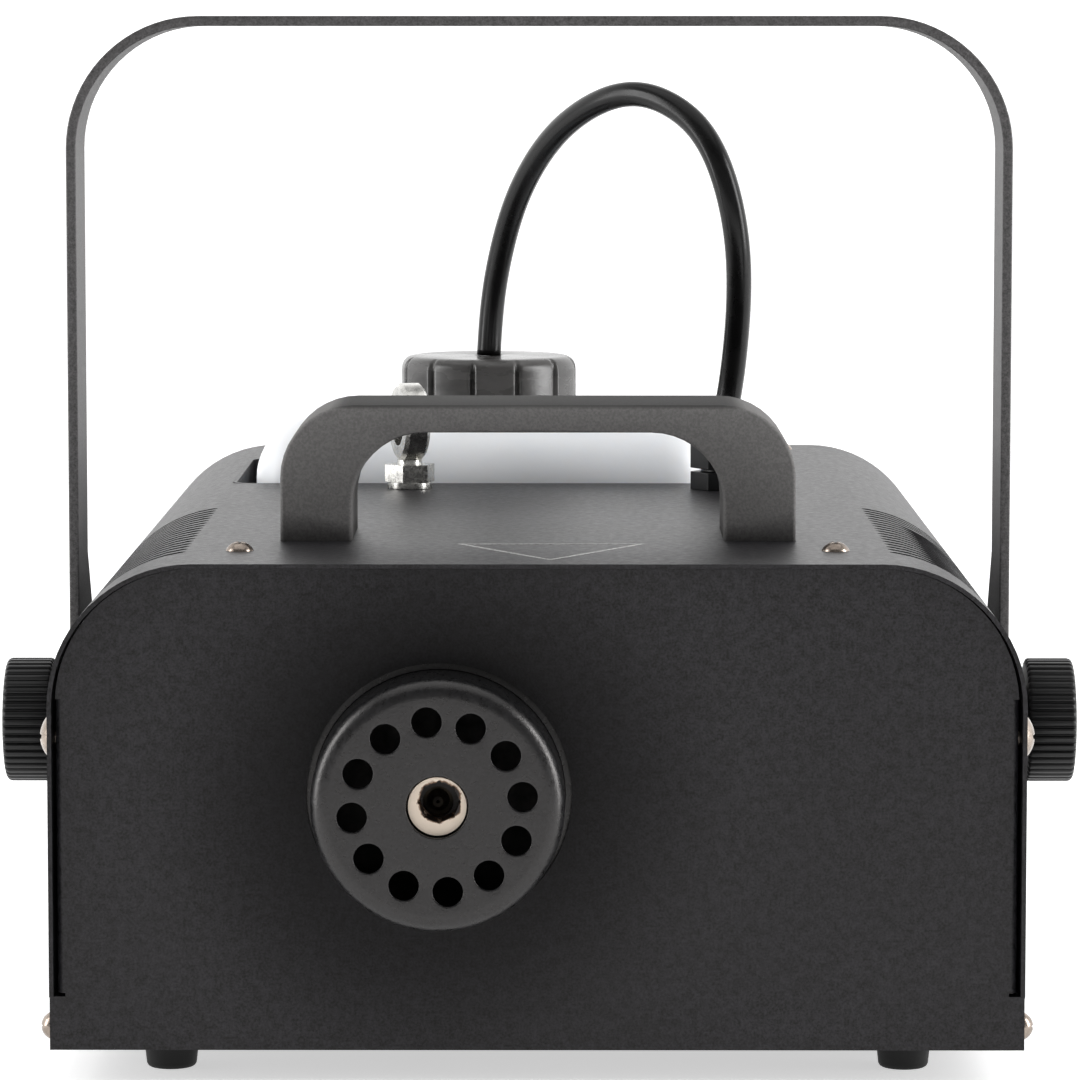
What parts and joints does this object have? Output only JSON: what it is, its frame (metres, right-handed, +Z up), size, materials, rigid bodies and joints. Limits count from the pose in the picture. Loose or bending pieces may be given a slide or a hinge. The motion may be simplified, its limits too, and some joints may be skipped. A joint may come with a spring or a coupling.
{
  "type": "fog machine",
  "caption": "Hanging or floor-standing fog machine: round-shouldered steel housing, perforated outlet guard, tilting yoke with clamping knobs, carrying handle and lift-out fluid tank.",
  "frame": {"origin": "bottom centre of the bounding box without the free hose, on the surface the feet stand on", "axes": "+X to the right seen from the front, +Y to the rear, so the outlet faces -Y, +Z up"},
  "size_m": [0.3284, 0.4489, 0.295],
  "materials": {
    "housing_paint": "fine powder coat",
    "yoke_paint": "textured powder coat",
    "guard_paint": "satin powder coat",
    "handle_plastic": "fine grain",
    "black_plastic": "satin",
    "cap_plastic": "semi-gloss",
    "rubber": "matt",
    "hose_rubber": "semi-gloss",
    "tank_plastic": "translucent, blow-moulded",
    "white_plastic": "satin",
    "insulator": "dense, slightly scorched",
    "wool": "mineral wool",
    "zinc": "zinc plated",
    "screw_nickel": "black nickel",
    "bare_steel": "rolled sheet",
    "aluminium": "cast",
    "brass": "turned",
    "copper": "drawn tube",
    "coil": "taped winding",
    "board": "solder mask",
    "components": "moulded",
    "display": "smoked window",
    "rocker_red": "gloss"
  },
  "bodies": {
    "housing": {"chassis": "housing_paint", "cover": "housing_paint", "rear_panel": "housing_paint", "tank_well": "housing_paint", "heat_guard": "guard_paint", "nozzle_insulator": "insulator", "nozzle": "brass", "heater_block": "aluminium", "heater_insulation": "wool", "heater_case": "bare_steel", "heater_legs": "bare_steel", "thermostat": "brass", "thermal_fuse": "zinc", "pump_body": "white_plastic", "pump_coil": "coil", "pump_bracket": "bare_steel", "pump_mounts": "rubber", "control_board": "board", "board_parts": "components", "board_standoffs": "brass", "display_board": "board", "inlet_hose": "hose_rubber", "pressure_tube": "copper", "fluid_hose": "hose_rubber", "gland_body": "black_plastic", "gland_nut": "black_plastic", "gland_locknut": "black_plastic", "eye_bolt": "zinc", "eye_washer": "zinc", "eye_nut": "zinc", "handle": "handle_plastic", "handle_screws": "zinc", "top_screws": "screw_nickel", "side_screws": "screw_nickel", "dome_screws": "screw_nickel", "feet": "rubber", "foot_screws": "zinc", "yoke_spacers": "rubber", "pivot_nuts": "zinc", "power_inlet": "black_plastic", "switch_frame": "black_plastic", "dmx_in": "black_plastic", "dmx_out": "black_plastic", "display_window": "display", "rear_screws": "screw_nickel"},
    "yoke": {"yoke": "yoke_paint", "knob_washers": "zinc"},
    "knob_left": {"knob_left": "black_plastic"},
    "knob_right": {"knob_right": "black_plastic"},
    "tank": {"tank": "tank_plastic", "pickup_tube": "hose_rubber", "pickup_filter": "white_plastic"},
    "cap": {"tank_cap": "cap_plastic", "cap_seal": "rubber"},
    "fuse_drawer": {"fuse_drawer": "black_plastic"},
    "rocker": {"power_rocker": "rocker_red"},
    "menu_button_1": {"menu_button_1": "black_plastic"},
    "menu_button_2": {"menu_button_2": "black_plastic"},
    "menu_button_3": {"menu_button_3": "black_plastic"},
    "menu_button_4": {"menu_button_4": "black_plastic"}
  },
  "joints": [
    {"name": "yoke_tilt", "type": "hinge", "parent": "housing", "child": "yoke", "pos_m": [0, -0.03045, 0.079], "axis": [1, 0, 0], "range_deg": [-60, 100]},
    {"name": "knob_left_turn", "type": "hinge", "parent": "housing", "child": "knob_left", "pos_m": [-0.15, -0.03045, 0.079], "axis": [1, 0, 0], "continuous": true},
    {"name": "knob_right_turn", "type": "hinge", "parent": "housing", "child": "knob_right", "pos_m": [0.15, -0.03045, 0.079], "axis": [1, 0, 0], "continuous": true},
    {"name": "tank_lift", "type": "slide", "parent": "housing", "child": "tank", "axis": [0, 0, 1], "range_m": [0, 0.16], "deforming": ["fluid_hose"]},
    {"name": "cap_turn", "type": "hinge", "parent": "tank", "child": "cap", "pos_m": [-0.0175, 0.10805, 0.174], "axis": [0, 0, 1], "continuous": true},
    {"name": "fuse_drawer_slide", "type": "slide", "parent": "housing", "child": "fuse_drawer", "axis": [0, 1, 0], "range_m": [0, 0.018]},
    {"name": "power_rocker_tilt", "type": "hinge", "parent": "housing", "child": "rocker", "pos_m": [0.088, 0.21505, 0.1], "axis": [1, 0, 0], "range_deg": [-16, 0]},
    {"name": "menu_button_1_press", "type": "slide", "parent": "housing", "child": "menu_button_1", "axis": [0, -1, 0], "range_m": [0, 0.0012], "stiffness_N_per_m": 300, "springref_m": -0.0005},
    {"name": "menu_button_2_press", "type": "slide", "parent": "housing", "child": "menu_button_2", "axis": [0, -1, 0], "range_m": [0, 0.0012], "stiffness_N_per_m": 300, "springref_m": -0.0005},
    {"name": "menu_button_3_press", "type": "slide", "parent": "housing", "child": "menu_button_3", "axis": [0, -1, 0], "range_m": [0, 0.0012], "stiffness_N_per_m": 300, "springref_m": -0.0005},
    {"name": "menu_button_4_press", "type": "slide", "parent": "housing", "child": "menu_button_4", "axis": [0, -1, 0], "range_m": [0, 0.0012], "stiffness_N_per_m": 300, "springref_m": -0.0005}
  ]
}
